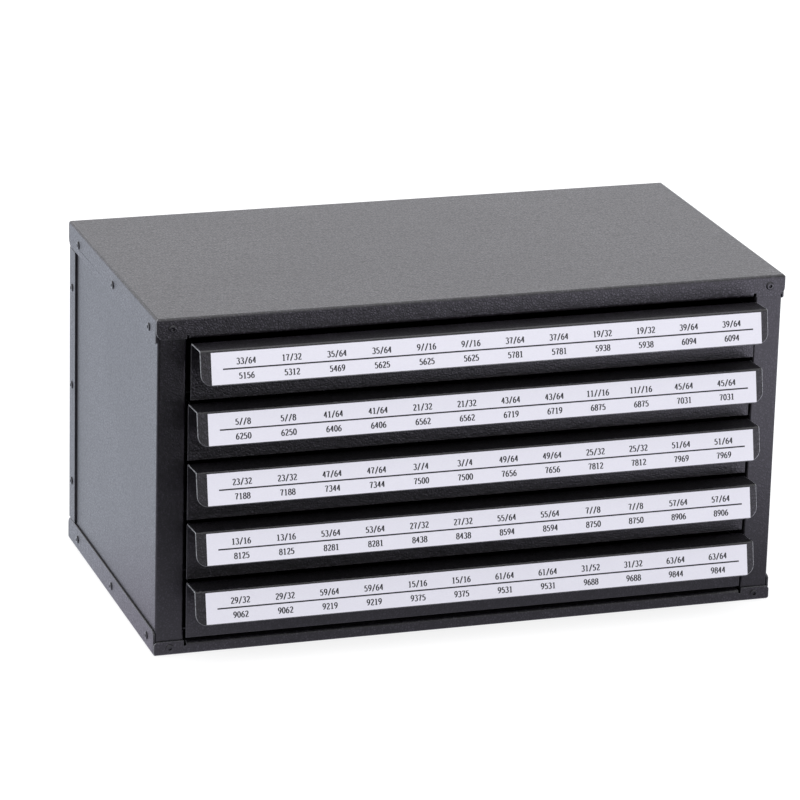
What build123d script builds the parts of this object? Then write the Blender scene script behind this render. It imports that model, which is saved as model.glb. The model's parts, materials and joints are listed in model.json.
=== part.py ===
from build123d import *
import os

# Drill bit drawer case: a riveted sheet steel case with five drawers, each with a folded
# front, a size label and twelve compartments. Millimetres. X runs along the width, the
# front faces -Y, Z is up, and the origin is the centre of the case's base.

# Case, outside, without the drawer lips
case_width = 375.0
case_depth = 200.0
case_height = 200.0

# Sheet thicknesses and the outer radii of their bends
cover_sheet = 1.2
cover_bend = 1.6
side_sheet = 1.0
side_bend = 1.5
runner_sheet = 1.0
drawer_sheet = 0.8
drawer_bend = 1.2

# Top cover flanges
top_front_drop = 12.5
top_side_drop = 15.2
# Bottom pan flanges: the front one is a little lower between the posts
pan_front_rise = 8.4
pan_lip_rise = 7.2
pan_side_rise = 14.5
# Lips folded into the case along both front flanges, with a relief notch at each end
front_lip_depth = 10.0
front_lip_bend = 1.8
lip_notch_width = 1.4
lip_notch_height = 2.2
# Rounded flange corners, and the slit between a front or rear flange and a side flange
flange_corner = 5.0
pan_front_corner = 2.5
corner_slit = 0.15

# Posts beside the drawers, folded from the side panels
post_width = 17.8
post_return = 9.0

# Back panel: side flanges between the top and bottom side flanges
back_flange = 15.2
back_gap = 0.3
notch_clearance = 0.2

# Blind rivets
rivet_head_radius = 2.75
rivet_head_height = 0.8
rivet_crown_radius = 2.4
rivet_shank_radius = 1.6
rivet_hole_clearance = 0.05
rivet_bulb_radius = 2.3
rivet_bulb_height = 1.8
mandrel_radius = 0.95
mandrel_depth = 0.5
front_rivet_inset = 9.5
top_rivet_drop = 8.9
pan_rivet_rise = 7.0
side_rivet_first = 16.0
side_rivet_pitch = 80.5
side_rivet_count = 3
strip_rivet_inset = 7.8
strip_rivet_pitch = 60.7
strip_rivet_count = 3
rear_rivet_pitch = 150.0
rear_rivet_count = 3

# Drawer fronts in the opening
drawer_count = 5
face_gap = 2.0
face_side_gap = 1.2
face_top_gap = 2.5
face_bottom_gap = 2.9
face_proud = 0.8
# Where each drawer rests sideways in its play, top to bottom, as a share of the side gap
rest_play = (0.7, -0.4, -0.4, -0.4, -0.4)

# Hood and hanging lip of a drawer front
hood_reach = 18.5
hood_rise = 1.0
lip_drop = 19.5
lip_lean = 4.0
lip_corner = 6.5

# Paper label on the lip
label_paper = 0.2
label_width = 326.6
label_height = 18.0
label_left_margin = 6.2
label_top_margin = 0.1

# Drawer tray
tray_side_gap = 4.5
tray_floor_rise = 2.0
tray_wall_height = 28.5
tray_rear_gap = 10.0
stop_tab_length = 8.5
stop_tab_height = 10.0
stop_tab_rise = 8.0
# How far a stop tab reaches past the post's return, and how far the drawer pulls out to it
stop_catch = 2.4
drawer_travel = 148.0

# Dividers in a tray
compartment_count = 12
divider_height = 24.0
divider_corner = 6.0
divider_end_gap = 0.2

# Runners
runner_height = 12.0
runner_bearing = 8.0
runner_stop_width = 10.0
runner_stop_height = 8.0
runner_front_gap = 0.5
running_gap = 0.2

# Worked out from the sizes above
half_width = case_width / 2
front = -case_depth / 2
rear = case_depth / 2
panel_outer = half_width - cover_sheet
panel_inner = panel_outer - side_sheet
post_front = front + cover_sheet
post_inner = half_width - post_width
opening_width = 2 * post_inner
opening_top = case_height - top_front_drop
back_outer = rear - cover_sheet
back_inner = back_outer - cover_sheet
face_width = opening_width - 2 * face_side_gap
face_pitch = (opening_top - face_top_gap - pan_lip_rise - face_bottom_gap + face_gap) / drawer_count
face_height = face_pitch - face_gap
face_back = front - face_proud + drawer_sheet
tray_half_width = post_inner - tray_side_gap
tray_rear = back_inner - tray_rear_gap
runner_front = post_front + post_return + runner_front_gap
runner_rear = tray_rear + running_gap + runner_sheet
stop_reach = post_inner + side_sheet + stop_catch
stop_front = post_front + post_return + drawer_travel + running_gap
rivet_hole_radius = rivet_shank_radius + rivet_hole_clearance
spare = 1.0


def block(x0, x1, y0, y1, z0, z1):
    """Box between two opposite corners."""
    size = Box(abs(x1 - x0), abs(y1 - y0), abs(z1 - z0))
    return Pos((x0 + x1) / 2, (y0 + y1) / 2, (z0 + z1) / 2) * size


def bent_sheet(plane, outline, sheet, bend, low, high):
    """Bent sheet: its outer line in a plane, rounded at each bend, thickened to the right."""
    line = FilletPolyline(*outline, radius=bend)
    section = make_face(line.offset_2d(sheet, side=Side.RIGHT))
    return extrude(plane.offset(low) * section, high - low)


def flange_waste(plane, width, drop, corner, length):
    """What is cut from a hanging flange to leave it rounded at its two free corners."""
    reach = 2 * drop + spare
    field = Pos(0, -reach / 2) * Rectangle(width + 2 * spare, reach)
    return extrude(plane * (field - RectangleRounded(width, 2 * drop, corner)), length)


def folded_tray(front_drop, lip_drop_height, side_drop, front_corner):
    """Tray with its plate at Z = 0 and its flanges hanging down, the front one with a lip."""
    shell = block(-half_width, half_width, front, rear, -side_drop, 0)
    shell = fillet(shell.faces().sort_by(Axis.Z)[-1].edges(), cover_bend)
    hollow = block(
        -panel_outer, panel_outer, post_front, back_outer, -side_drop - spare, -cover_sheet
    )
    hollow = fillet(hollow.faces().sort_by(Axis.Z)[-1].edges(), cover_bend - cover_sheet)
    tray = shell - hollow
    # Rounded free corners: front flange, then both side flanges
    front_plane = Plane(origin=(0, post_front, 0), x_dir=(1, 0, 0), z_dir=(0, -1, 0))
    tray -= flange_waste(front_plane, case_width, front_drop, front_corner, cover_sheet + spare)
    for side in (-1, 1):
        side_plane = Plane(origin=(side * panel_outer, 0, 0), x_dir=(0, side, 0), z_dir=(side, 0, 0))
        tray -= flange_waste(side_plane, case_depth, side_drop, flange_corner, cover_sheet + spare)
        # Slits where the side flange meets the front and rear flanges
        for y in (post_front, back_outer - corner_slit):
            tray -= block(
                side * panel_outer, side * (half_width + spare), y, y + corner_slit,
                -cover_bend, -side_drop - spare,
            )
    # Lip folded inwards between the posts
    notch_top = -lip_drop_height + lip_notch_height
    lip_half = post_inner - lip_notch_width
    tray -= block(-post_inner, post_inner, front - spare, post_front, notch_top, -front_drop - spare)
    outline = [
        (front, notch_top),
        (front, -lip_drop_height),
        (front + front_lip_depth, -lip_drop_height),
    ]
    lip = bent_sheet(
        Plane.YZ, [(y, z) for y, z in reversed(outline)], cover_sheet, front_lip_bend,
        -lip_half, lip_half,
    )
    return tray + lip


def rivet_site(x, y, z, outward):
    """Plane on a sheet's outer face, its Z axis pointing out of the case."""
    return Plane(origin=(x, y, z), z_dir=outward)


def side_rivet_sites(side):
    """Rivets on one side: along the top and bottom flanges, and up the back panel's flange."""
    sites = []
    for index in range(side_rivet_count):
        y = front + side_rivet_first + index * side_rivet_pitch
        for z in (case_height - top_rivet_drop, pan_rivet_rise):
            sites.append(rivet_site(side * half_width, y, z, (side, 0, 0)))
    for index in range(strip_rivet_count):
        z = case_height / 2 + (index - (strip_rivet_count - 1) / 2) * strip_rivet_pitch
        sites.append(rivet_site(side * half_width, rear - strip_rivet_inset, z, (side, 0, 0)))
    return sites


def front_rivet_sites():
    """One rivet in each corner of the front, through a tray flange and a post."""
    heights = (case_height - top_front_drop / 2, pan_front_rise / 2)
    x = half_width - front_rivet_inset
    return [rivet_site(side * x, front, z, (0, -1, 0)) for side in (-1, 1) for z in heights]


def rear_rivet_sites():
    """Rivets along the trays' rear flanges, into the back panel."""
    sites = []
    for index in range(rear_rivet_count):
        x = (index - (rear_rivet_count - 1) / 2) * rear_rivet_pitch
        for z in (case_height - top_rivet_drop, pan_rivet_rise):
            sites.append(rivet_site(x, rear, z, (0, 1, 0)))
    return sites


def rivet(site, stack):
    """Set blind rivet through a stack of sheet: domed head, shank and bulb in one profile."""
    dome = rivet_head_height
    profile = Polyline(
        (mandrel_radius, dome),
        (mandrel_radius, dome - mandrel_depth),
        (0, dome - mandrel_depth),
        (0, -stack - rivet_bulb_height),
        (rivet_shank_radius, -stack - rivet_bulb_height),
        (rivet_bulb_radius, -stack - rivet_bulb_height / 2),
        (rivet_bulb_radius, -stack),
        (rivet_shank_radius, -stack),
        (rivet_shank_radius, 0),
        (rivet_head_radius, 0),
    )
    crown = RadiusArc((rivet_head_radius, 0), (mandrel_radius, dome), -rivet_crown_radius)
    return site * revolve(Plane.XZ * make_face(profile + crown), Axis.Z)


def rivet_holes(sites, stack):
    """Clearance holes for a list of rivets."""
    hole = extrude(Circle(rivet_hole_radius), 2 * (stack + spare), both=True)
    return [site * hole for site in sites]


def pierce(sheet, holes):
    """Cuts holes in a sheet."""
    for hole in holes:
        sheet -= hole
    return sheet


def side_panel(side, holes):
    """Side of the case with the post and its return folded at the front."""
    outline = [
        (panel_outer, back_inner - cover_bend + cover_sheet),
        (panel_outer, post_front),
        (post_inner, post_front),
        (post_inner, post_front + post_return),
    ]
    low = cover_bend
    panel = bent_sheet(Plane.XY, outline, side_sheet, side_bend, low, case_height - low)
    if side < 0:
        panel = mirror(panel, about=Plane.YZ)
    return pierce(panel, holes)


def back_panel(holes):
    """Back plate inside the trays' rear flanges, with a flange round each rear edge."""
    low = cover_bend
    tongue = panel_outer - notch_clearance
    plate = block(-tongue, tongue, back_inner, back_outer, low, case_height - low)
    strip_low = pan_side_rise + back_gap
    strip_high = case_height - top_side_drop - back_gap
    outline = [
        (-half_width, rear - back_flange),
        (-half_width, back_outer),
        (half_width, back_outer),
        (half_width, rear - back_flange),
    ]
    wrap = bent_sheet(Plane.XY, outline, cover_sheet, cover_bend, strip_low, strip_high)
    return pierce(plate + wrap, holes)


def face_bottom(level):
    """Height of a drawer face's lower edge, level 1 at the top."""
    return opening_top - face_top_gap - face_height - (level - 1) * face_pitch


def runner_seat(level):
    """Height of the runners' upper faces that carry a drawer."""
    return face_bottom(level) + tray_floor_rise - running_gap


def runner(side, level):
    """Angle under one side of a drawer, fixed to the side panel, with a stop bent up behind."""
    seat = runner_seat(level)
    base = seat - runner_sheet
    inner = tray_half_width - runner_bearing
    outline = [(inner, base), (panel_inner, base), (panel_inner, base + runner_height)]
    line = FilletPolyline(*outline, radius=side_bend)
    section = make_face(line.offset_2d(runner_sheet, side=Side.LEFT))
    angle = extrude(Plane.XZ.offset(-runner_rear) * section, runner_rear - runner_front)
    stop = block(
        inner, inner + runner_stop_width, runner_rear - runner_sheet, runner_rear,
        base, seat + runner_stop_height,
    )
    whole = angle + stop
    return whole if side > 0 else mirror(whole, about=Plane.YZ)


def shift(level):
    """Sideways place of a drawer in its play."""
    return rest_play[level - 1] * face_side_gap


def lip_plane(level):
    """Plane on the lip's outer face: X to the right, Y up the lip, origin under the hood edge."""
    top = face_bottom(level) + face_height + hood_rise
    hood_edge = face_back - hood_reach
    down = Vector(0, -lip_lean, -lip_drop).normalized()
    outward = Vector(1, 0, 0).cross(-down)
    return Plane(origin=(shift(level), hood_edge, top), x_dir=(1, 0, 0), z_dir=outward)


def drawer_front(level):
    """Face, hood and hanging lip of a drawer, folded from one sheet."""
    low = face_bottom(level)
    high = low + face_height
    hood_edge = face_back - hood_reach
    outline = [
        (hood_edge - lip_lean, high + hood_rise - lip_drop),
        (hood_edge, high + hood_rise),
        (face_back, high),
        (face_back, low),
    ]
    half = face_width / 2
    sheet = bent_sheet(Plane.YZ, outline, drawer_sheet, drawer_bend, -half, half)
    # Rounded lower corners of the lip, cut from in front of the face
    cut_back = face_back - drawer_bend - spare
    cut_front = hood_edge - lip_lean - spare
    lip_top = Plane(origin=(0, cut_back, high + hood_rise), x_dir=(1, 0, 0), z_dir=(0, -1, 0))
    corners = flange_waste(lip_top, face_width, lip_drop, lip_corner, cut_back - cut_front)
    return Pos(shift(level), 0, 0) * (sheet - corners)


def drawer_label(level):
    """Paper size label on the lip."""
    left = -face_width / 2 + label_left_margin
    top = -label_top_margin - drawer_bend
    paper = Pos(left + label_width / 2, top - label_height / 2) * Rectangle(label_width, label_height)
    return extrude(lip_plane(level) * paper, label_paper)


def stop_tab(side, floor):
    """Tab bent out of a tray wall, which stops the drawer at the post's return."""
    return block(
        side * (tray_half_width - drawer_sheet), side * stop_reach,
        stop_front, stop_front + drawer_sheet,
        floor + stop_tab_rise, floor + stop_tab_rise + stop_tab_height,
    )


def tab_window(side, floor):
    """Window left in the tray wall by its stop tab."""
    return block(
        side * (tray_half_width - drawer_sheet - spare), side * (tray_half_width + spare),
        stop_front + drawer_sheet, stop_front + drawer_sheet + stop_tab_length,
        floor + stop_tab_rise, floor + stop_tab_rise + stop_tab_height,
    )


def drawer_tray(level):
    """Open tray behind the drawer front: floor, four walls and two stop tabs."""
    floor = face_bottom(level) + tray_floor_rise
    top = floor + tray_wall_height
    outer = block(-tray_half_width, tray_half_width, face_back, tray_rear, floor, top)
    outer = fillet(outer.faces().sort_by(Axis.Z)[0].edges(), drawer_bend)
    inner = block(
        -tray_half_width + drawer_sheet, tray_half_width - drawer_sheet,
        face_back + drawer_sheet, tray_rear - drawer_sheet, floor + drawer_sheet, top + spare,
    )
    inner = fillet(inner.faces().sort_by(Axis.Z)[0].edges(), drawer_bend - drawer_sheet)
    tray = outer - inner
    for side in (-1, 1):
        tray += stop_tab(side, floor)
        tray -= tab_window(side, floor)
    return Pos(shift(level), 0, 0) * tray


def drawer_dividers(level):
    """Upright plates from front to rear, evenly spaced, which make the compartments."""
    base = face_bottom(level) + tray_floor_rise + drawer_sheet
    inner_width = 2 * (tray_half_width - drawer_sheet)
    start = face_back + drawer_sheet + divider_end_gap
    end = tray_rear - drawer_sheet - divider_end_gap
    bottom_corner = drawer_bend - drawer_sheet
    plates = []
    for index in range(1, compartment_count):
        x = -inner_width / 2 + index * inner_width / compartment_count + shift(level)
        plate = block(
            x - drawer_sheet / 2, x + drawer_sheet / 2, start, end, base, base + divider_height
        )
        plate = fillet(plate.edges().filter_by(Axis.X).group_by(Axis.Z)[-1], divider_corner)
        plate = chamfer(plate.edges().filter_by(Axis.X).group_by(Axis.Z)[0], bottom_corner)
        plates.append(plate)
    return Compound(children=plates)


def build():
    """All sub-parts by name."""
    two_covers = cover_sheet + side_sheet
    front_sites = front_rivet_sites()
    left_sites = side_rivet_sites(-1)
    right_sites = side_rivet_sites(1)
    rear_sites = rear_rivet_sites()
    case_sites = front_sites + left_sites + right_sites
    holes = rivet_holes(case_sites, two_covers) + rivet_holes(rear_sites, 2 * cover_sheet)

    cover = folded_tray(top_front_drop, top_front_drop, top_side_drop, flange_corner)
    cover = Pos(0, 0, case_height) * cover
    pan = folded_tray(pan_front_rise, pan_lip_rise, pan_side_rise, pan_front_corner)
    pan = mirror(pan, about=Plane.XY)
    parts = {
        "top_cover": pierce(cover, holes),
        "bottom_pan": pierce(pan, holes),
        "left_side_panel": side_panel(-1, holes),
        "right_side_panel": side_panel(1, holes),
        "back_panel": back_panel(holes),
        "front_rivets": Compound(children=[rivet(site, two_covers) for site in front_sites]),
        "left_rivets": Compound(children=[rivet(site, two_covers) for site in left_sites]),
        "right_rivets": Compound(children=[rivet(site, two_covers) for site in right_sites]),
        "rear_rivets": Compound(children=[rivet(site, 2 * cover_sheet) for site in rear_sites]),
    }
    for level in range(1, drawer_count + 1):
        parts[f"left_runner_{level}"] = runner(-1, level)
        parts[f"right_runner_{level}"] = runner(1, level)
        parts[f"drawer_{level}_front"] = drawer_front(level)
        parts[f"drawer_{level}_tray"] = drawer_tray(level)
        parts[f"drawer_{level}_dividers"] = drawer_dividers(level)
        parts[f"drawer_{level}_label"] = drawer_label(level)
    return parts


os.makedirs("parts", exist_ok=True)
for name, shape in build().items():
    export_step(shape, f"parts/{name}.step")
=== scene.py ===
import json
import math
from fractions import Fraction

import bmesh
import bpy
from mathutils import Matrix, Vector

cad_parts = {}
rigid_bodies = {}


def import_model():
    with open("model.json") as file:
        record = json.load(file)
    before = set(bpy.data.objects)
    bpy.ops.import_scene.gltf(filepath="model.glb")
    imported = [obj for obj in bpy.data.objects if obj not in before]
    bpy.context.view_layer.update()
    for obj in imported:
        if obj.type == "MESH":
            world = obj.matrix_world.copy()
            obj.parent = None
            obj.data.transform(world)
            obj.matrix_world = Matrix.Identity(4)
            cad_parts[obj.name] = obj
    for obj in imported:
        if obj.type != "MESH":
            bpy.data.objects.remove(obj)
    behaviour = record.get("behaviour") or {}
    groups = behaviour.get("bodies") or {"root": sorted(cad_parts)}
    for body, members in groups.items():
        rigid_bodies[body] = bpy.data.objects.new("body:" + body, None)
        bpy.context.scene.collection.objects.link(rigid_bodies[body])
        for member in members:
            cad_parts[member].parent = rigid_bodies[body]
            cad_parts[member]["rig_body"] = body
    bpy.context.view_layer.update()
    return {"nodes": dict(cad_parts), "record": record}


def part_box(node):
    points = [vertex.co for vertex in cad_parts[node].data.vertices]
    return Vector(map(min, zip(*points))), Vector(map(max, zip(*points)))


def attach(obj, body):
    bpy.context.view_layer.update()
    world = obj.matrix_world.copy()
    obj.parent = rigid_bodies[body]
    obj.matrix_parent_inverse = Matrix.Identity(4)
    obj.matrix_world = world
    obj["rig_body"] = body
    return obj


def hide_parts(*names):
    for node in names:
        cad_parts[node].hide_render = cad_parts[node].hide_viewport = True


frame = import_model()

# ---------------------------------------------------------------------------
# Sizes, in metres
# ---------------------------------------------------------------------------
MM = 0.001
drawer_count = 5

# Softened edge that a powder coat leaves on cut sheet
edge_ease = 0.34 * MM
edge_steps = 3
sharp_angle = math.radians(38)
flat_angle = math.radians(0.5)
weld_gap = 0.002 * MM
same_place = 1e-6

# Painted highlight along sheet edges, as a lighter colour, together with the coat lying thin there: most of
# all on the pull lips, which hands rub.
# The value is the share of light grey that shows; on the left lips the painted highlight fades towards their
# foot.
cut_width = 1.0 * MM
lips_start = -102 * MM
lip_length = 20 * MM
lip_highlight_and_wear = 1.0
lip_highlight_fade = 0.6
corner_highlight_and_wear = 0.5
corner_start = (186.2 * MM, -98.7 * MM)
edge_highlight_and_wear = 0.1

# Blind rivets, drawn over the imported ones
rivet_head_height = 0.8 * MM
rivet_sizes = {
    "Head Radius": 2.75 * MM,
    "Head Height": rivet_head_height - 0.03 * MM,
    "Hole Radius": 0.95 * MM,
    "Hole Depth": 1.5 * MM,
    "Shank Radius": 1.6 * MM,
    "Bulb Radius": 2.3 * MM,
    "Bulb Height": 1.8 * MM,
    "Rounding": 0.22 * MM,
}
rivet_stacks = {"front": 2.2 * MM, "left": 2.2 * MM, "right": 2.2 * MM, "rear": 2.4 * MM}
rivet_outward = {"front": (0, -1, 0), "left": (-1, 0, 0), "right": (1, 0, 0), "rear": (0, 1, 0)}
rivet_segments = 36
rivet_tilt = 0.05

# Print on the labels
column_count = 12
column_pitch = 26.2 * MM
first_column = 20.0 * MM
rule_inset_left = 6.6 * MM
rule_inset_right = 5.2 * MM
rule_width = 0.82 * MM
rule_height_share = 0.473
digit_height = 3.6 * MM
digit_pitch = 2.3 * MM
fraction_rise = 4.0 * MM
decimal_drop = 4.2 * MM
ink_thickness = 0.03 * MM
# Each stroke of a figure lies this share higher than the last, so that no two faces share a plane
ink_layer = 0.06
pen_thick = 0.20
pen_thin = 0.09
figure_spread = 1.12
doubled_slashes = ("9/16", "5/8", "11/16", "3/4", "7/8")
# Columns whose print departs from its size, by drawer and column, both counted from 1
misprints = {(1, 4): ("35/64", "5625"), (5, 9): ("31/52", "9688")}

# Camera, as seen from the front left and a little above
camera_azimuth = math.radians(18.35)
camera_elevation = math.radians(18.56)
camera_roll = math.radians(-1.52)
camera_distance = 2.682
camera_aim = Vector((0, 0, 0.1))
camera_offset = (0.0108, 0.0055)
camera_lens = 204.3
camera_sensor = 36.0

# Floor: half its width, and how far it lies below the case
floor_reach = 6.0
floor_drop = 0.2 * MM

# What the painted steel mirrors in the floor: a glow that only reflections see, a painted reflection, dark at
# the front left. Each edge is where a change starts and ends, in metres, and each pair of strengths is the
# light on its two sides.
dark_reflection_edge = (0.06, 0.36)
dark_reflection_strengths = (0.02, 3.4)
dark_reflection_depth = (-0.36, -0.15)
near_edge = (-0.2, -0.08)
near_strengths = (1.2, 0.82)
behind_edge = (-0.1, 0.15)
behind_strength = 1.74

# Soft light around the case: in front of it from low to high, and behind it
front_heights = (0.1, 0.5)
front_strengths = (0.9, 1.1)
back_edge = (-0.3, 0.4)
back_strength = 1.5


# ---------------------------------------------------------------------------
# Nodes and colours
# ---------------------------------------------------------------------------
def linear(hex_code):
    """Linear RGBA of an sRGB hex colour."""
    parts = [int(hex_code[i:i + 2], 16) / 255 for i in (1, 3, 5)]
    return [p / 12.92 if p <= 0.04045 else ((p + 0.055) / 1.055) ** 2.4 for p in parts] + [1.0]


def add(tree, kind, settings=None, inputs=None):
    """Adds a node, sets its properties, and fills its inputs with values or other nodes' outputs."""
    node = tree.nodes.new(kind)
    for key, value in (settings or {}).items():
        setattr(node, key, value)
    for key, value in (inputs or {}).items():
        if isinstance(value, bpy.types.NodeSocket):
            tree.links.new(value, node.inputs[key])
        else:
            node.inputs[key].default_value = value
    return node


def new_material(name):
    """Empty node material with an output; returns the material, its tree and the output."""
    material = bpy.data.materials.new(name)
    material.use_nodes = True
    material.node_tree.nodes.clear()
    output = add(material.node_tree, "ShaderNodeOutputMaterial")
    return material, material.node_tree, output


# ---------------------------------------------------------------------------
# Materials
# ---------------------------------------------------------------------------
def fade(tree, value, start, end, low, high):
    """Smooth change from `low` to `high` while a value goes from `start` to `end`."""
    return add(tree, "ShaderNodeMapRange", {"interpolation_type": "SMOOTHSTEP"}, {
        "Value": value, "From Min": start, "From Max": end, "To Min": low, "To Max": high,
    }).outputs["Result"]


def blend(tree, share, first, second):
    """Number between two others."""
    return add(tree, "ShaderNodeMix", None, {"Factor": share, "A": first, "B": second}).outputs["Result"]


def powder_coat(name, shade, roughness, grain, depth):
    """Semi-gloss leather-grain powder coat on steel: baked plastic skin, pulled into pebbles and creases.

    The pebbles are about `grain` wide and `depth` high, both in millimetres."""
    material, tree, output = new_material(name)
    place = add(tree, "ShaderNodeTexCoord").outputs["Object"]
    pebble_width = grain * MM
    wander_width = 4.5 * pebble_width
    wander_reach = 1.6 * pebble_width
    group_width = 1.7 * pebble_width
    group_height = 3.0
    # The creases wander: their places are pushed about by a slow noise
    wander = add(tree, "ShaderNodeTexNoise", None, {
        "Vector": place, "Scale": 1 / wander_width, "Detail": 1.0,
    })
    pushed = add(tree, "ShaderNodeVectorMath", {"operation": "MULTIPLY_ADD"}, {
        0: wander.outputs["Color"], 1: (wander_reach,) * 3, 2: place,
    })
    cells = add(tree, "ShaderNodeTexVoronoi", {"feature": "DISTANCE_TO_EDGE"}, {
        "Vector": pushed.outputs[0], "Scale": 1 / pebble_width, "Randomness": 1.0,
    })
    pebble = fade(tree, cells.outputs["Distance"], 0.0, 0.3, 0.0, 1.0)
    # Groups of pebbles stand higher or lower, as the skin shrank
    shrink = add(tree, "ShaderNodeTexNoise", None, {
        "Vector": pushed.outputs[0], "Scale": 1 / group_width, "Detail": 2.0, "Roughness": 0.5,
    })
    height = add(tree, "ShaderNodeMath", {"operation": "MULTIPLY_ADD"}, {
        0: shrink.outputs["Fac"], 1: group_height, 2: pebble,
    }).outputs[0]
    bump = add(tree, "ShaderNodeBump", None, {"Strength": 1.0, "Distance": depth * MM, "Height": height})
    # The gloss drifts a little over some centimetres, and the creases hold less gloss
    drift = add(tree, "ShaderNodeTexNoise", None, {"Vector": place, "Scale": 1 / (60 * MM), "Detail": 1.0})
    gloss = fade(tree, drift.outputs["Fac"], 0.3, 0.7, roughness - 0.015, roughness + 0.015)
    dulled = blend(tree, pebble, roughness + 0.1, gloss)
    # Painted shade and light in the colour: the creases darkened, and groups of pebbles lighter the higher
    # they stand
    group_height_light = fade(tree, shrink.outputs["Fac"], 0.3, 0.7, 0.6, 2.1)
    tone = add(tree, "ShaderNodeVectorMath", {"operation": "SCALE"}, {
        0: linear(shade)[:3], "Scale": blend(tree, pebble, 0.25, group_height_light),
    })
    # Sheet edges: a light grey mixed into the colour, partly a painted highlight along the edges and partly
    # the coat pulled thin, with grey primer showing in places
    specks = add(tree, "ShaderNodeTexNoise", None, {"Vector": place, "Scale": 1 / (1.3 * MM), "Detail": 1.0})
    edge = add(tree, "ShaderNodeAttribute", {"attribute_name": "thin_coat"})
    edge_highlight_share = add(tree, "ShaderNodeMath", {"operation": "MULTIPLY"}, {
        0: edge.outputs["Fac"], 1: fade(tree, specks.outputs["Fac"], 0.3, 0.6, 0.45, 1.0),
    })
    colour = add(tree, "ShaderNodeMix", {"data_type": "RGBA"}, {
        "Factor": edge_highlight_share.outputs[0], "A": tone.outputs[0], "B": linear("#A4A6AA"),
    })
    shader = add(tree, "ShaderNodeBsdfPrincipled", None, {
        "Base Color": colour.outputs["Result"], "Roughness": dulled, "IOR": 1.5,
        "Normal": bump.outputs["Normal"],
    })
    tree.links.new(shader.outputs[0], output.inputs["Surface"])
    return material


def rivet_paint():
    """Painted aluminium blind rivet: smoother and a little darker than the sheet."""
    material, tree, output = new_material("painted_aluminium_rivet")
    place = add(tree, "ShaderNodeTexCoord").outputs["Object"]
    mottle = add(tree, "ShaderNodeTexNoise", None, {
        "Vector": place, "Scale": 1 / (0.9 * MM), "Detail": 3.0, "Roughness": 0.6,
    })
    gloss = add(tree, "ShaderNodeMapRange", None, {
        "Value": mottle.outputs["Fac"], "From Min": 0.3, "From Max": 0.7, "To Min": 0.18, "To Max": 0.3,
    })
    bump = add(tree, "ShaderNodeBump", None, {
        "Strength": 0.6, "Distance": 0.015 * MM, "Height": mottle.outputs["Fac"],
    })
    shader = add(tree, "ShaderNodeBsdfPrincipled", None, {
        "Base Color": linear("#17161A"), "Roughness": gloss.outputs["Result"], "IOR": 1.5,
        "Normal": bump.outputs["Normal"],
    })
    tree.links.new(shader.outputs[0], output.inputs["Surface"])
    return material


def label_paper():
    """Satin coated label paper: cool white with a faint fibre mottle and a soft sheen."""
    material, tree, output = new_material("satin_label_paper")
    place = add(tree, "ShaderNodeTexCoord").outputs["Object"]
    stretched = add(tree, "ShaderNodeMapping", None, {"Vector": place, "Scale": (1.0, 1.0, 2.2)})
    fibres = add(tree, "ShaderNodeTexNoise", None, {
        "Vector": stretched.outputs[0], "Scale": 1 / (1.1 * MM), "Detail": 3.0, "Roughness": 0.6,
    })
    tone = add(tree, "ShaderNodeMix", {"data_type": "RGBA"}, {
        "Factor": fibres.outputs["Fac"], "A": linear("#DEDDE6"), "B": linear("#EAE9F1"),
    })
    bump = add(tree, "ShaderNodeBump", None, {
        "Strength": 0.35, "Distance": 0.02 * MM, "Height": fibres.outputs["Fac"],
    })
    shader = add(tree, "ShaderNodeBsdfPrincipled", None, {
        "Base Color": tone.outputs["Result"], "Roughness": 0.48, "IOR": 1.45,
        "Normal": bump.outputs["Normal"],
    })
    tree.links.new(shader.outputs[0], output.inputs["Surface"])
    return material


def printing_ink():
    """Black printing ink: thin, slightly uneven where the paper took less of it."""
    material, tree, output = new_material("black_printing_ink")
    place = add(tree, "ShaderNodeTexCoord").outputs["Object"]
    take = add(tree, "ShaderNodeTexNoise", None, {"Vector": place, "Scale": 1 / (0.5 * MM), "Detail": 2.0})
    tone = add(tree, "ShaderNodeMix", {"data_type": "RGBA"}, {
        "Factor": take.outputs["Fac"], "A": linear("#101012"), "B": linear("#2A2A2F"),
    })
    shader = add(tree, "ShaderNodeBsdfPrincipled", None, {
        "Base Color": tone.outputs["Result"], "Roughness": 0.6, "IOR": 1.45,
    })
    tree.links.new(shader.outputs[0], output.inputs["Surface"])
    return material


# One coat in a lit and a shaded copy: the cover and pan get the lighter tone, the panels a darker one as
# painted shade
cover_paint_lit = powder_coat("leather_grain_powder_coat", "#252328", roughness=0.32, grain=1.6, depth=0.055)
panel_paint_shaded = powder_coat(
    "leather_grain_powder_coat_panels", "#151318", roughness=0.32, grain=1.6, depth=0.03,
)
drawer_paint = powder_coat(
    "leather_grain_powder_coat_drawers", "#1A181D", roughness=0.30, grain=1.7, depth=0.065,
)
rivet_finish = rivet_paint()
paper = label_paper()
ink = printing_ink()


# ---------------------------------------------------------------------------
# Meshes
# ---------------------------------------------------------------------------
def piece_from(name, mesh, material):
    """Object at the origin around a finished mesh."""
    mesh.name = name
    mesh.materials.clear()
    mesh.materials.append(material)
    piece = bpy.data.objects.new(name, mesh)
    bpy.context.scene.collection.objects.link(piece)
    return piece


def baked(piece, material):
    """Applies a piece's modifiers and puts it all in one material.

    Returns which faces were in the second slot."""
    graph = bpy.context.evaluated_depsgraph_get()
    mesh = bpy.data.meshes.new_from_object(piece.evaluated_get(graph))
    second = [face.material_index == 1 for face in mesh.polygons]
    mesh.polygons.foreach_set("material_index", [0] * len(mesh.polygons))
    mesh.materials.clear()
    mesh.materials.append(material)
    piece.modifiers.clear()
    piece.data = mesh
    return second


def body_of(node):
    """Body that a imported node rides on."""
    return frame["nodes"][node]["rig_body"]


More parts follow.
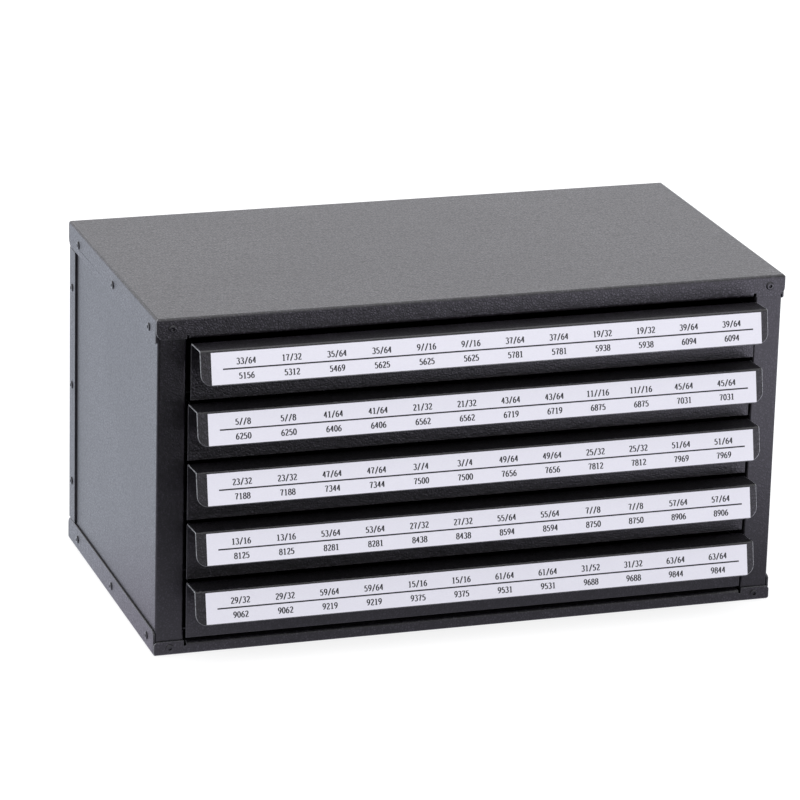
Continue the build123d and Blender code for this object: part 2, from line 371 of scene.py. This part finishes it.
def record_slot(node):
    """Material slot that the record gives a node."""
    return next(s["material_slot"] for s in frame["record"]["subparts"] if s["node"] == node)


def is_cut(edge):
    """Whether an edge is a sharp outer one, left by a cut."""
    return len(edge.link_faces) == 2 and edge.is_convex and edge.calc_face_angle() > sharp_angle


def thickness_face(face):
    """Whether a face shows the sheet's thickness: narrow, and mostly bounded by cut edges."""
    around = sum(edge.calc_length() for edge in face.edges)
    cut = sum(edge.calc_length() for edge in face.edges if is_cut(edge))
    return 2 * face.calc_area() / around < cut_width and cut > around / 2


def mark_thin_coat(piece, edge_faces):
    """Stores on each face its share of painted highlight and thin coat: most on the lips' edges and the
    case's corners.
    """
    thin = piece.data.attributes.new("thin_coat", "FLOAT", "FACE")
    crest = max(vertex.co.z for vertex in piece.data.vertices)
    for face, value, on_edge in zip(piece.data.polygons, thin.data, edge_faces):
        place = face.center
        if not on_edge:
            value.value = 0.0
        elif place.y < lips_start and face.normal.z > -0.3:
            # On the left lips the painted highlight is brightest at the bend and fades towards the foot;
            # faces turned down get none
            faded = lip_highlight_fade * (crest - place.z) / lip_length if place.x < 0 else 0.0
            value.value = lip_highlight_and_wear * (1 - faded)
        elif abs(place.x) > corner_start[0] and place.y < corner_start[1]:
            value.value = corner_highlight_and_wear
        else:
            value.value = edge_highlight_and_wear


def eased_sheet(node, material):
    """Copy of a packed sheet part with its cut edges rounded over by the coat."""
    mesh = bpy.data.meshes.new(node + "_sheet")
    shell = bmesh.new()
    shell.from_mesh(frame["nodes"][node].data)
    bmesh.ops.remove_doubles(shell, verts=shell.verts, dist=weld_gap)
    bmesh.ops.dissolve_limit(shell, angle_limit=flat_angle, verts=shell.verts, edges=shell.edges)
    weight = shell.edges.layers.float.new("bevel_weight_edge")
    for edge in shell.edges:
        edge[weight] = 1.0 if is_cut(edge) else 0.0
    for face in shell.faces:
        face.smooth = True
        face.material_index = 1 if thickness_face(face) else 0
    shell.to_mesh(mesh)
    shell.free()
    piece = piece_from(node + "_sheet", mesh, material)
    # The second slot only marks the edge faces while the edges are rounded
    mesh.materials.append(material)
    ease = piece.modifiers.new("ease", "BEVEL")
    ease.limit_method = "WEIGHT"
    ease.width = edge_ease
    ease.segments = edge_steps
    ease.use_clamp_overlap = False
    ease.material = 1
    flatten = piece.modifiers.new("flatten", "WEIGHTED_NORMAL")
    flatten.mode = "FACE_AREA"
    flatten.weight = 100
    edge_faces = baked(piece, material)
    mark_thin_coat(piece, edge_faces)
    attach(piece, body_of(node))
    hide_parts(node)


def set_inputs(piece, tree, values):
    """Adds a Geometry Nodes modifier and sets its inputs by their sockets' identifiers."""
    modifier = piece.modifiers.new(tree.name, "NODES")
    modifier.node_group = tree
    sockets = {s.name: s.identifier for s in tree.interface.items_tree if s.in_out == "INPUT"}
    for name, value in values.items():
        modifier[sockets[name]] = value


def geometry_tree(name, inputs):
    """Empty Geometry Nodes tree with a geometry input and output and the named inputs."""
    tree = bpy.data.node_groups.new(name, "GeometryNodeTree")
    tree.interface.new_socket("Geometry", in_out="INPUT", socket_type="NodeSocketGeometry")
    for label, kind in inputs.items():
        tree.interface.new_socket(label, in_out="INPUT", socket_type="NodeSocket" + kind)
    tree.interface.new_socket("Geometry", in_out="OUTPUT", socket_type="NodeSocketGeometry")
    return tree, add(tree, "NodeGroupInput").outputs


def finish_tree(tree, instances, material):
    """Ends a tree: real meshes from its instances, with their material."""
    real = add(tree, "GeometryNodeRealizeInstances", None, {"Geometry": instances})
    finished = add(tree, "GeometryNodeSetMaterial", None, {"Geometry": real.outputs[0], "Material": material})
    add(tree, "NodeGroupOutput", None, {"Geometry": finished.outputs[0]})


# ---------------------------------------------------------------------------
# Rivets
# ---------------------------------------------------------------------------
def rivet_tree():
    """Blind rivets on points: one turned profile, swept round, set along each point's outward vector."""
    kinds = {name: "Float" for name in rivet_sizes}
    kinds.update({"Stack": "Float", "Segments": "Int", "Tilt": "Float", "Seed": "Int", "Finish": "Material"})
    tree, size = geometry_tree("blind_rivets", kinds)

    def less(a, b):
        return add(tree, "ShaderNodeMath", {"operation": "SUBTRACT"}, {0: a, 1: b}).outputs[0]

    def part_of(a, share):
        return add(tree, "ShaderNodeMath", {"operation": "MULTIPLY"}, {0: a, 1: share}).outputs[0]

    head, hole, shank, bulb = (size[n] for n in ("Head Radius", "Hole Radius", "Shank Radius", "Bulb Radius"))
    crown = size["Head Height"]
    hole_floor = less(crown, size["Hole Depth"])
    under = less(0.0, size["Stack"])
    bulge = less(under, part_of(size["Bulb Height"], 0.5))
    tail = less(under, size["Bulb Height"])
    # From the mandrel's broken end, over the head, down the shank to the tail behind the sheets
    profile = [
        (0.0, hole_floor), (hole, hole_floor), (hole, crown), (part_of(head, 0.64), part_of(crown, 0.93)),
        (part_of(head, 0.82), part_of(crown, 0.62)), (head, 0.0), (shank, 0.0), (shank, under),
        (bulb, under), (bulb, bulge), (shank, tail), (0.0, tail),
    ]
    pick = add(tree, "GeometryNodeIndexSwitch", {"data_type": "VECTOR"}, {
        "Index": add(tree, "GeometryNodeInputIndex").outputs[0],
    })
    while len(pick.index_switch_items) < len(profile):
        pick.index_switch_items.new()
    for index, (radius, rise) in enumerate(profile):
        # The swept circle carries its profile outwards and upside down, so both of its ways are turned
        point = add(tree, "ShaderNodeCombineXYZ", None, {"X": less(radius, head), "Y": less(0.0, rise)})
        tree.links.new(point.outputs[0], pick.inputs[str(index)])
    line = add(tree, "GeometryNodeMeshLine", None, {"Count": len(profile)})
    bent = add(tree, "GeometryNodeSetPosition", None, {
        "Geometry": line.outputs[0], "Position": pick.outputs[0],
    })
    curve = add(tree, "GeometryNodeMeshToCurve", None, {"Mesh": bent.outputs[0]})
    rounded = add(tree, "GeometryNodeFilletCurve", {"mode": "POLY"}, {
        "Curve": curve.outputs[0], "Count": 3, "Radius": size["Rounding"], "Limit Radius": True,
    })
    ring = add(tree, "GeometryNodeCurvePrimitiveCircle", {"mode": "RADIUS"}, {
        "Resolution": size["Segments"], "Radius": head,
    })
    turned = add(tree, "GeometryNodeCurveToMesh", None, {
        "Curve": ring.outputs["Curve"], "Profile Curve": rounded.outputs[0],
    })
    closed = add(tree, "GeometryNodeMergeByDistance", None, {
        "Geometry": turned.outputs[0], "Distance": weld_gap,
    })
    smooth = add(tree, "GeometryNodeSetShadeSmooth", None, {"Geometry": closed.outputs[0]})
    outward = add(tree, "GeometryNodeInputNamedAttribute", {"data_type": "FLOAT_VECTOR"}, {"Name": "outward"})
    upright = add(tree, "FunctionNodeAlignRotationToVector", {"axis": "Z"}, {"Vector": outward.outputs[0]})
    spin = add(tree, "FunctionNodeRandomValue", {"data_type": "FLOAT_VECTOR"}, {"Seed": size["Seed"]})
    lean = add(tree, "ShaderNodeVectorMath", {"operation": "SUBTRACT"}, {
        0: spin.outputs[0], 1: (0.5, 0.5, 0.5),
    })
    scale = add(tree, "ShaderNodeCombineXYZ", None, {"X": size["Tilt"], "Y": size["Tilt"], "Z": 2 * math.pi})
    angles = add(tree, "ShaderNodeVectorMath", {"operation": "MULTIPLY"}, {
        0: lean.outputs[0], 1: scale.outputs[0],
    })
    turn = add(tree, "FunctionNodeRotateRotation", {"rotation_space": "LOCAL"}, {
        "Rotation": upright.outputs[0], "Rotate By": angles.outputs[0],
    })
    copies = add(tree, "GeometryNodeInstanceOnPoints", None, {
        "Points": size["Geometry"], "Instance": smooth.outputs[0], "Rotation": turn.outputs[0],
    })
    finish_tree(tree, copies.outputs[0], size["Finish"])
    return tree


def rivet_seats(node, outward):
    """Middle of each packed rivet's seat: its solids, one by one, at the height of the head's rim."""
    shell = bmesh.new()
    shell.from_mesh(frame["nodes"][node].data)
    bmesh.ops.remove_doubles(shell, verts=shell.verts, dist=weld_gap)
    unseen = set(shell.verts)
    seats = []
    while unseen:
        island, edge = [], [unseen.pop()]
        while edge:
            vertex = edge.pop()
            island.append(vertex.co.copy())
            for link in vertex.link_edges:
                other = link.other_vert(vertex)
                if other in unseen:
                    unseen.remove(other)
                    edge.append(other)
        low = Vector(min(v[axis] for v in island) for axis in range(3))
        high = Vector(max(v[axis] for v in island) for axis in range(3))
        top = max(v.dot(outward) for v in island)
        middle = (low + high) / 2
        seats.append(middle + outward * (top - rivet_head_height - middle.dot(outward)))
    shell.free()
    return sorted(seats, key=tuple)


def rivets(side, tree):
    """All rivets on one side of the case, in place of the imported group."""
    node = side + "_rivets"
    outward = Vector(rivet_outward[side])
    seats = rivet_seats(node, outward)
    mesh = bpy.data.meshes.new(node + "_turned")
    mesh.from_pydata([tuple(s) for s in seats], [], [])
    vectors = mesh.attributes.new("outward", "FLOAT_VECTOR", "POINT")
    for item in vectors.data:
        item.vector = outward
    piece = piece_from(node + "_turned", mesh, rivet_finish)
    values = dict(rivet_sizes)
    values.update({
        "Stack": rivet_stacks[side], "Segments": rivet_segments, "Tilt": rivet_tilt,
        "Seed": len(seats), "Finish": rivet_finish,
    })
    set_inputs(piece, tree, values)
    baked(piece, rivet_finish)
    outward_faces(piece)
    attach(piece, "case")
    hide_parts(node)


def outward_faces(piece):
    """Turns all faces of closed shells outwards, and keeps hard edges hard."""
    shell = bmesh.new()
    shell.from_mesh(piece.data)
    bmesh.ops.recalc_face_normals(shell, faces=shell.faces)
    shell.to_mesh(piece.data)
    shell.free()
    piece.data.set_sharp_from_angle(angle=sharp_angle)


# ---------------------------------------------------------------------------
# Printed numbers
# ---------------------------------------------------------------------------
def bow(x, y, rx, ry, start, end, steps=14):
    """Points along an elliptical arc, angles in degrees, anticlockwise from the right."""
    angles = [math.radians(start + (end - start) * i / steps) for i in range(steps + 1)]
    return [(x + rx * math.cos(a), y + ry * math.sin(a)) for a in angles]


# Pen strokes of the figures 0 to 9 and the slash, in shares of the figure's height
figures = [
    [bow(0.25, 0.50, 0.19, 0.46, 0, 360, 20)],
    [[(0.26, 0.03), (0.26, 0.97)], [(0.26, 0.94), (0.10, 0.84)], [(0.09, 0.04), (0.43, 0.04)]],
    [bow(0.24, 0.73, 0.17, 0.23, 165, -30) + [(0.08, 0.05)], [(0.07, 0.03), (0.43, 0.03), (0.45, 0.14)]],
    [bow(0.22, 0.75, 0.17, 0.21, 150, -85), bow(0.22, 0.28, 0.20, 0.26, 85, -150)],
    [[(0.33, 0.95), (0.05, 0.31)], [(0.04, 0.30), (0.47, 0.30)], [(0.34, 0.96), (0.34, 0.03)]],
    [[(0.13, 0.94), (0.42, 0.94)], [(0.13, 0.95), (0.10, 0.52)], bow(0.22, 0.32, 0.20, 0.28, 125, -145)],
    [bow(0.25, 0.30, 0.18, 0.27, 0, 360, 18), bow(0.43, 0.32, 0.36, 0.62, 95, 180, 8)],
    [[(0.07, 0.82), (0.08, 0.94), (0.43, 0.94)], [(0.43, 0.94), (0.27, 0.50), (0.22, 0.03)]],
    [bow(0.25, 0.74, 0.16, 0.21, 0, 360, 16), bow(0.25, 0.28, 0.19, 0.26, 0, 360, 18)],
    [bow(0.25, 0.70, 0.18, 0.27, 0, 360, 18), bow(0.07, 0.68, 0.36, 0.62, -85, 0, 8)],
    [[(0.06, -0.06), (0.44, 1.04)]],
]


def stroke(shell, points, height):
    """Inked pen stroke: thick down the page, thin across it, as a thin closed prism."""
    path = [Vector((x * figure_spread, y)) for x, y in points]
    closed = (path[0] - path[-1]).length < same_place
    if closed:
        path = path[:-1]
    count = len(path)
    rims = []
    for i, here in enumerate(path):
        before = path[i - 1] if closed or i > 0 else here
        after = path[(i + 1) % count] if closed or i < count - 1 else here
        along = (after - before).normalized()
        width = pen_thin + (pen_thick - pen_thin) * abs(along.y)
        side = Vector((-along.y, along.x)) * width / 2
        corners = []
        for point in (here + side, here - side):
            for z in (0, height):
                corners.append(shell.verts.new((point.x, point.y, z)))
        rims.append(corners)
    spans = count if closed else count - 1
    for i in range(spans):
        (a0, a1, b0, b1), (c0, c1, d0, d1) = rims[i], rims[(i + 1) % count]
        for face in ((a1, b1, d1, c1), (a0, c0, d0, b0), (a0, a1, c1, c0), (b0, d0, d1, b1)):
            shell.faces.new(face)
    if not closed:
        for a0, a1, b0, b1 in (rims[0], rims[-1]):
            shell.faces.new((a0, b0, b1, a1))


def figure_collection():
    """One mesh for each figure, kept out of the scene, for the print to copy."""
    shelf = bpy.data.collections.new("figures")
    for index, strokes in enumerate(figures):
        shell = bmesh.new()
        for layer, points in enumerate(strokes):
            stroke(shell, points, (ink_thickness / digit_height) * (1 + ink_layer * layer))
        bmesh.ops.recalc_face_normals(shell, faces=shell.faces)
        mesh = bpy.data.meshes.new(f"figure_{index:02d}")
        shell.to_mesh(mesh)
        shell.free()
        shelf.objects.link(bpy.data.objects.new(mesh.name, mesh))
    return shelf


def print_tree():
    """Printed figures on points: each point's figure number picks the mesh that is set there."""
    tree, size = geometry_tree("printed_figures", {
        "Figures": "Collection", "Figure Height": "Float", "Finish": "Material",
    })
    shelf = add(tree, "GeometryNodeCollectionInfo", None, {
        "Collection": size["Figures"], "Separate Children": True, "Reset Children": True,
    })
    number = add(tree, "GeometryNodeInputNamedAttribute", {"data_type": "INT"}, {"Name": "figure"})
    copies = add(tree, "GeometryNodeInstanceOnPoints", None, {
        "Points": size["Geometry"], "Instance": shelf.outputs[0], "Pick Instance": True,
        "Instance Index": number.outputs[0], "Scale": size["Figure Height"],
    })
    finish_tree(tree, copies.outputs[0], size["Finish"])
    return tree


def printed_sizes(level):
    """Fraction and four decimal places for each column of a drawer's label, in 64ths of an inch."""
    rows = []
    for column in range(column_count):
        place = (level - 1) * column_count + column
        sixty_fourths = 33 if place == 0 else 34 + place // 2
        size = Fraction(sixty_fourths, 64)
        fraction = f"{size.numerator}/{size.denominator}"
        if fraction in doubled_slashes:
            fraction = fraction.replace("/", "//")
        rows.append(misprints.get((level, column + 1), (fraction, f"{round(size * 10000):04d}")))
    return rows


def label_plane(level):
    """Matrix of a label's outer face: origin at its lower left corner, X along it, Y up it."""
    low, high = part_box(f"drawer_{level}_label")
    points = [v.co for v in frame["nodes"][f"drawer_{level}_label"].data.vertices]
    crest = max(p.z for p in points)
    # The lower front edge is the one furthest out; the upper front edge is the front of the highest points
    foot = min(p.z for p in points if p.y < low.y + same_place)
    lower = Vector((low.x, min(p.y for p in points), foot))
    upper = Vector((low.x, min(p.y for p in points if p.z > crest - same_place), crest))
    up = (upper - lower).normalized()
    right = Vector((1, 0, 0))
    out = right.cross(up)
    plane = Matrix((right, up, out)).transposed().to_4x4()
    plane.translation = lower
    return plane, high.x - low.x, (upper - lower).length


def label_print(level, tree, shelf):
    """Ink on one label: a long rule, fractions above it and their decimals below."""
    plane, width, height = label_plane(level)
    rule_y = height * rule_height_share
    points, numbers = [], []
    for column, (fraction, decimal) in enumerate(printed_sizes(level)):
        centre = first_column + column * column_pitch
        for text, y in ((fraction, rule_y + fraction_rise), (decimal, rule_y - decimal_drop)):
            start = centre - len(text) * digit_pitch / 2 + (digit_pitch - digit_height / 2) / 2
            for index, letter in enumerate(text):
                points.append((start + index * digit_pitch, y - digit_height / 2, 0))
                numbers.append(10 if letter == "/" else int(letter))
    mesh = bpy.data.meshes.new(f"drawer_{level}_print")
    mesh.from_pydata(points, [], [])
    attribute = mesh.attributes.new("figure", "INT", "POINT")
    attribute.data.foreach_set("value", numbers)
    piece = piece_from(mesh.name, mesh, ink)
    set_inputs(piece, tree, {"Figures": shelf, "Figure Height": digit_height, "Finish": ink})
    baked(piece, ink)
    shell = bmesh.new()
    shell.from_mesh(piece.data)
    rule = bmesh.ops.create_cube(shell, size=1.0)["verts"]
    left, right = rule_inset_left, width - rule_inset_right
    stretch = Matrix.Diagonal((right - left, rule_width, ink_thickness, 1))
    place = Matrix.Translation(((left + right) / 2, rule_y, ink_thickness / 2))
    bmesh.ops.transform(shell, matrix=place @ stretch, verts=rule)
    bmesh.ops.transform(shell, matrix=plane, verts=shell.verts)
    shell.to_mesh(piece.data)
    shell.free()
    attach(piece, f"drawer_{level}")


# ---------------------------------------------------------------------------
# Build
# ---------------------------------------------------------------------------
for node in ("top_cover", "bottom_pan"):
    eased_sheet(node, cover_paint_lit)
for node in ("left_side_panel", "right_side_panel", "back_panel"):
    eased_sheet(node, panel_paint_shaded)
for level in range(1, drawer_count + 1):
    eased_sheet(f"drawer_{level}_front", drawer_paint)
    eased_sheet(f"drawer_{level}_tray", drawer_paint)

rivet_nodes = rivet_tree()
for side in rivet_outward:
    rivets(side, rivet_nodes)

print_nodes = print_tree()
figure_shelf = figure_collection()
for level in range(1, drawer_count + 1):
    label_print(level, print_nodes, figure_shelf)

finishes = {
    "case_paint": panel_paint_shaded, "drawer_paint": drawer_paint, "runner_paint": panel_paint_shaded,
    "rivet_paint": rivet_finish, "label_paper": paper,
}
for node, packed in frame["nodes"].items():
    packed.data.materials.clear()
    packed.data.materials.append(finishes[record_slot(node)])


# ---------------------------------------------------------------------------
# Stage: floor, world, lamps and camera
# ---------------------------------------------------------------------------
def direct_rays(tree):
    """Light path outputs, and 1 for rays that come straight from the camera or through something clear."""
    path = add(tree, "ShaderNodeLightPath").outputs
    return path, add(tree, "ShaderNodeMath", {"operation": "MAXIMUM"}, {
        0: path["Is Camera Ray"], 1: path["Is Transmission Ray"],
    }).outputs[0]


def floor_material():
    """Pale seamless paper. The camera sees it near white, with the case's soft shadow left in it.

    Painted steel mirrors it through a glow that only reflections see, a painted reflection: bright behind the
    case and at the front right, dull close to the front, and dark at the front left."""
    material, tree, output = new_material("pale_studio_paper")
    place = add(tree, "ShaderNodeTexCoord").outputs["Object"]
    axes = add(tree, "ShaderNodeSeparateXYZ", None, {0: place}).outputs
    # Painted reflection: a glow that only glossy rays see, dark at the front left and bright elsewhere
    behind = fade(tree, axes["Y"], *behind_edge, 0.0, 1.0)
    dark_reflection = fade(tree, axes["X"], *dark_reflection_edge, *dark_reflection_strengths)
    near = fade(tree, axes["X"], *near_edge, *near_strengths)
    close = blend(tree, fade(tree, axes["Y"], *dark_reflection_depth, 0.0, 1.0), dark_reflection, near)
    tint = add(tree, "ShaderNodeMix", {"data_type": "RGBA"}, {
        "Factor": behind, "A": linear("#EFEBFF"), "B": linear("#EBF1FF"),
    })
    mirrored = add(tree, "ShaderNodeEmission", None, {
        "Color": tint.outputs["Result"], "Strength": blend(tree, behind, close, behind_strength),
    })
    lit = add(tree, "ShaderNodeBsdfDiffuse", None, {"Color": (0.45, 0.45, 0.45, 1.0)})
    faint = add(tree, "ShaderNodeBsdfDiffuse", None, {"Color": (0.25, 0.25, 0.25, 1.0)})
    glow = add(tree, "ShaderNodeEmission", None, {"Color": (1.0, 1.0, 1.0, 1.0), "Strength": 0.82})
    pale = add(tree, "ShaderNodeAddShader", None, {0: faint.outputs[0], 1: glow.outputs[0]})
    path, direct = direct_rays(tree)
    indirect = add(tree, "ShaderNodeMixShader", None, {
        "Fac": path["Is Glossy Ray"], 1: lit.outputs[0], 2: mirrored.outputs[0],
    })
    seen = add(tree, "ShaderNodeMixShader", None, {"Fac": direct, 1: indirect.outputs[0], 2: pale.outputs[0]})
    tree.links.new(seen.outputs[0], output.inputs["Surface"])
    return material


def make_floor():
    """Large flat floor under the case."""
    mesh = bpy.data.meshes.new("floor")
    turns = ((-1, -1), (1, -1), (1, 1), (-1, 1))
    corners = [(floor_reach * x, floor_reach * y, -floor_drop) for x, y in turns]
    mesh.from_pydata(corners, [], [(0, 1, 2, 3)])
    mesh.update()
    floor = piece_from("floor", mesh, floor_material())


def make_world():
    """White surroundings for the camera; for the case, soft light that is brighter behind it."""
    world = bpy.data.worlds.new("studio")
    bpy.context.scene.world = world
    world.use_nodes = True
    tree = world.node_tree
    tree.nodes.clear()
    direction = add(tree, "ShaderNodeTexCoord").outputs["Generated"]
    axes = add(tree, "ShaderNodeSeparateXYZ", None, {0: direction}).outputs
    front = fade(tree, axes["Z"], *front_heights, *front_strengths)
    strength = blend(tree, fade(tree, axes["Y"], *back_edge, 0.0, 1.0), front, back_strength)
    soft = add(tree, "ShaderNodeBackground", None, {"Color": linear("#FBFBFF"), "Strength": strength})
    white = add(tree, "ShaderNodeBackground", None, {"Color": (1.0, 1.0, 1.0, 1.0), "Strength": 1.0})
    path, direct = direct_rays(tree)
    mixed = add(tree, "ShaderNodeMixShader", None, {"Fac": direct, 1: soft.outputs[0], 2: white.outputs[0]})
    output = add(tree, "ShaderNodeOutputWorld")
    tree.links.new(mixed.outputs[0], output.inputs["Surface"])


def lamp(name, place, aim, size, watts):
    """Square soft box at a place, turned to face a point."""
    light = bpy.data.lights.new(name, "AREA")
    light.shape = "SQUARE"
    light.size = size
    light.energy = watts
    holder = bpy.data.objects.new(name, light)
    holder.location = place
    holder.rotation_mode = "QUATERNION"
    holder.rotation_quaternion = (Vector(aim) - Vector(place)).to_track_quat("-Z", "Y")
    bpy.context.scene.collection.objects.link(holder)


def make_camera():
    """Camera at the picture's viewing angle."""
    a, e, roll = camera_azimuth, camera_elevation, camera_roll
    forward = Vector((math.sin(a) * math.cos(e), math.cos(a) * math.cos(e), -math.sin(e)))
    right = forward.cross(Vector((0, 0, 1))).normalized()
    down = forward.cross(right)
    turned_right = math.cos(roll) * right + math.sin(roll) * down
    turned_down = -math.sin(roll) * right + math.cos(roll) * down
    lens = bpy.data.cameras.new("camera")
    lens.sensor_width = camera_sensor
    lens.lens = camera_lens
    lens.clip_start = 0.05
    lens.clip_end = 50
    camera = bpy.data.objects.new("camera", lens)
    place = camera_aim - camera_distance * forward
    place -= camera_offset[0] * turned_right + camera_offset[1] * turned_down
    camera.matrix_world = Matrix.Translation(place) @ Matrix(
        (turned_right, -turned_down, -forward)
    ).transposed().to_4x4()
    bpy.context.scene.collection.objects.link(camera)
    bpy.context.scene.camera = camera


make_floor()
make_world()
lamp("overhead_soft_box", place=(0.3, -0.9, 2.6), aim=(0, -0.1, 0.1), size=3.0, watts=31)
make_camera()

scene = bpy.context.scene
scene.view_settings.view_transform = "Standard"
